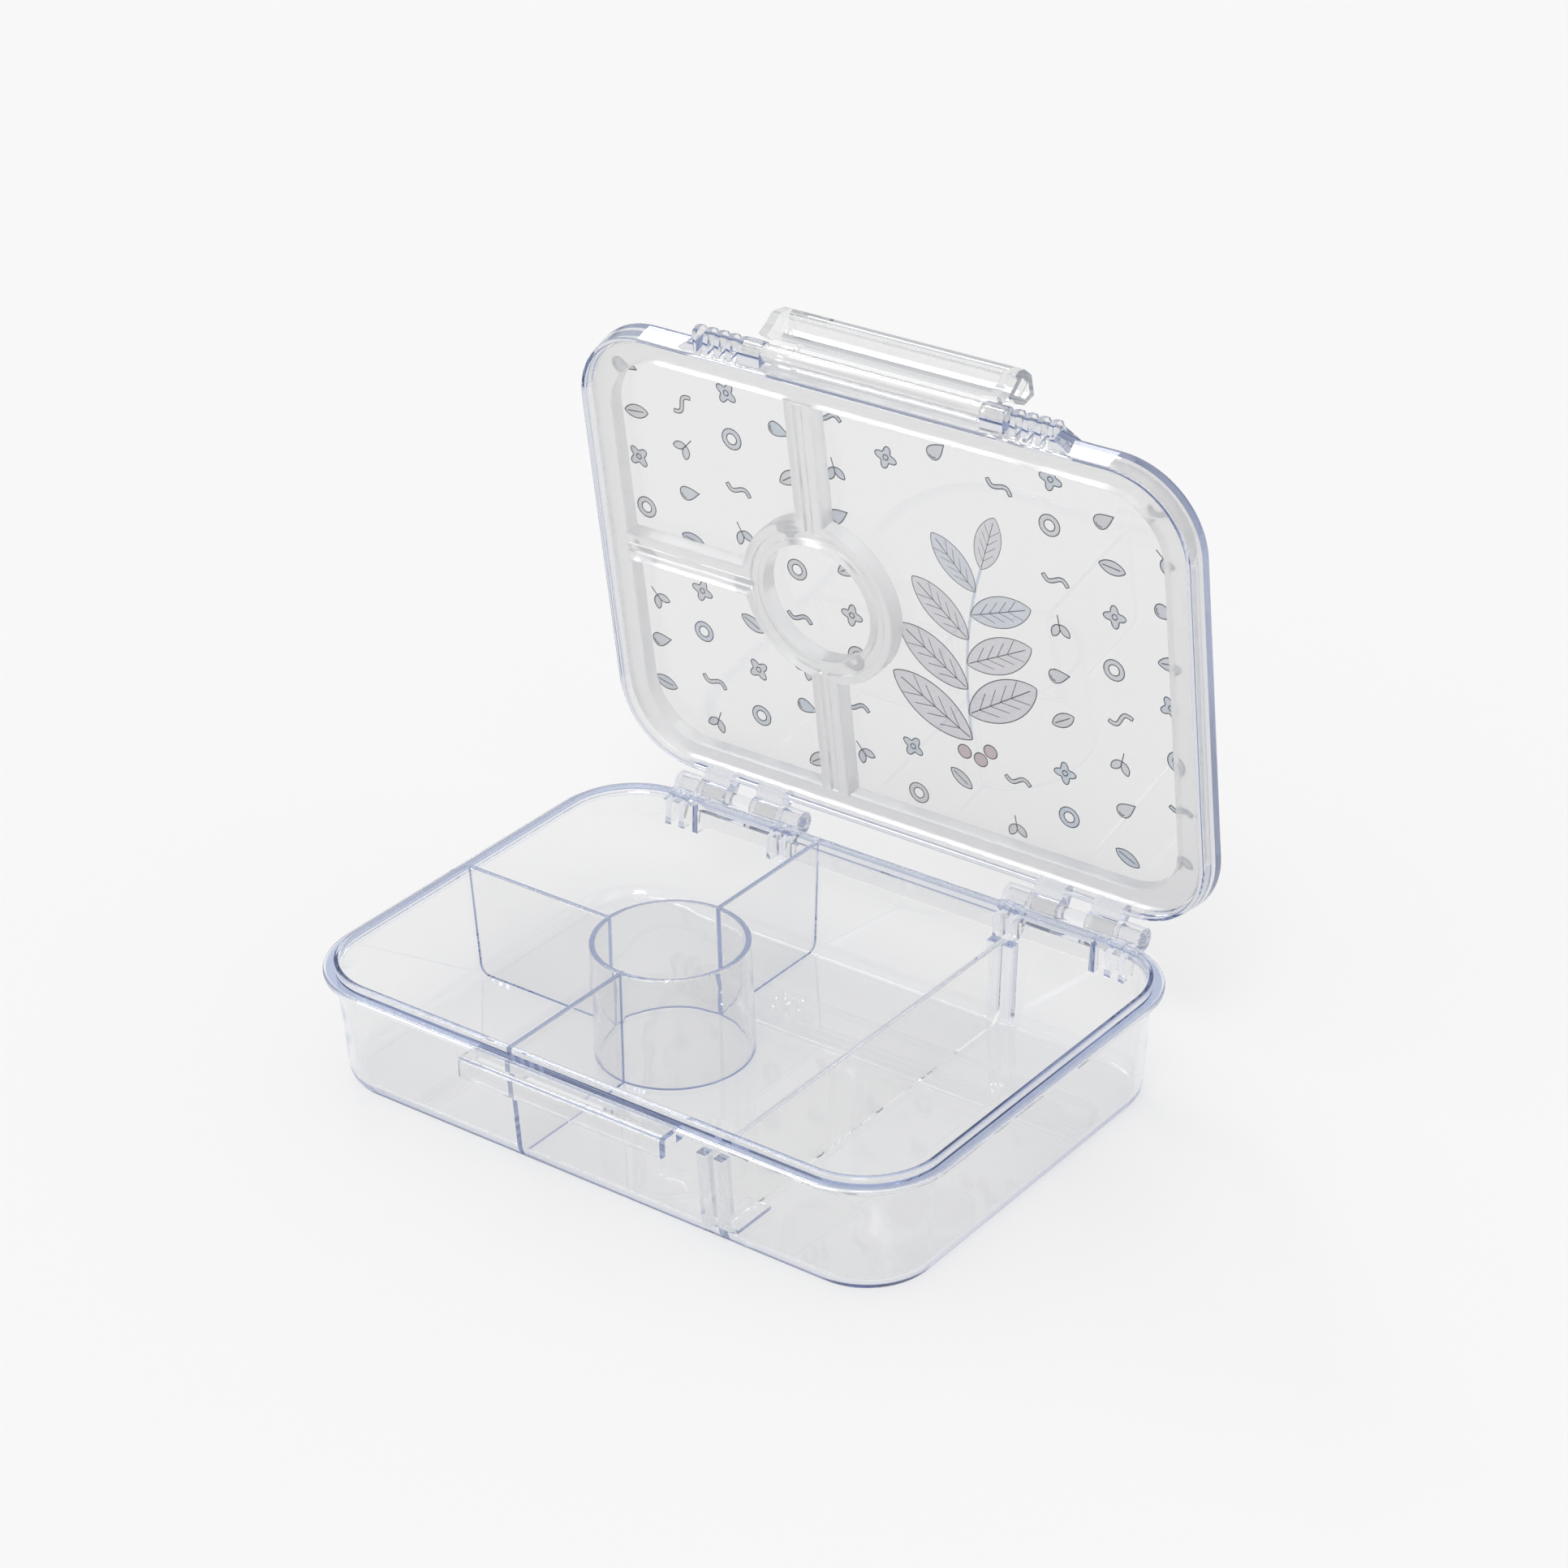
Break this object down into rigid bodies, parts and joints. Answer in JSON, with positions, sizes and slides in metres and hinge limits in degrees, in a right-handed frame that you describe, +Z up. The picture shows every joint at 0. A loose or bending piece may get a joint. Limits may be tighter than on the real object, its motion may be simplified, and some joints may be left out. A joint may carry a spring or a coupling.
{
  "type": "lunch box",
  "caption": "Clear hinged lunch box with a divided tray, round cup, lift-out divider, sealed lid and front latch.",
  "frame": {"origin": "centre of the base tray's flat underside", "axes": "+X along the front edge to the right, +Y from the latch side to the hinge side, +Z up out of the tray"},
  "size_m": [0.2202, 0.1771, 0.2105],
  "materials": {
    "clear_plastic": "clear moulded plastic with a polished face and a faint blue-violet tint in its thickness",
    "pin_plastic": "clear moulded plastic rod, slightly darker than the walls",
    "milky_silicone": "soft milky translucent silicone with a satin face"
  },
  "bodies": {
    "base": {"base_tray": "clear_plastic", "hinge_pin_left": "pin_plastic", "hinge_pin_right": "pin_plastic"},
    "divider": {"divider_panel": "clear_plastic"},
    "lid": {"lid_shell": "clear_plastic", "lid_seal": "milky_silicone", "latch_pin": "pin_plastic"},
    "latch": {"latch_flap": "clear_plastic"}
  },
  "joints": [
    {"name": "lid_hinge", "type": "hinge", "parent": "base", "child": "lid", "pos_m": [0, 0.083, 0.0378], "axis": [-1, 0, 0], "range_deg": [-83, 27]},
    {"name": "latch_pivot", "type": "hinge", "parent": "lid", "child": "latch", "pos_m": [0, 0.06887, 0.2013], "axis": [-1, 0, 0], "range_deg": [-145, 0]},
    {"name": "divider_lift", "type": "slide", "parent": "base", "child": "divider", "axis": [0, 0, 1], "range_m": [0, 0.01]}
  ]
}
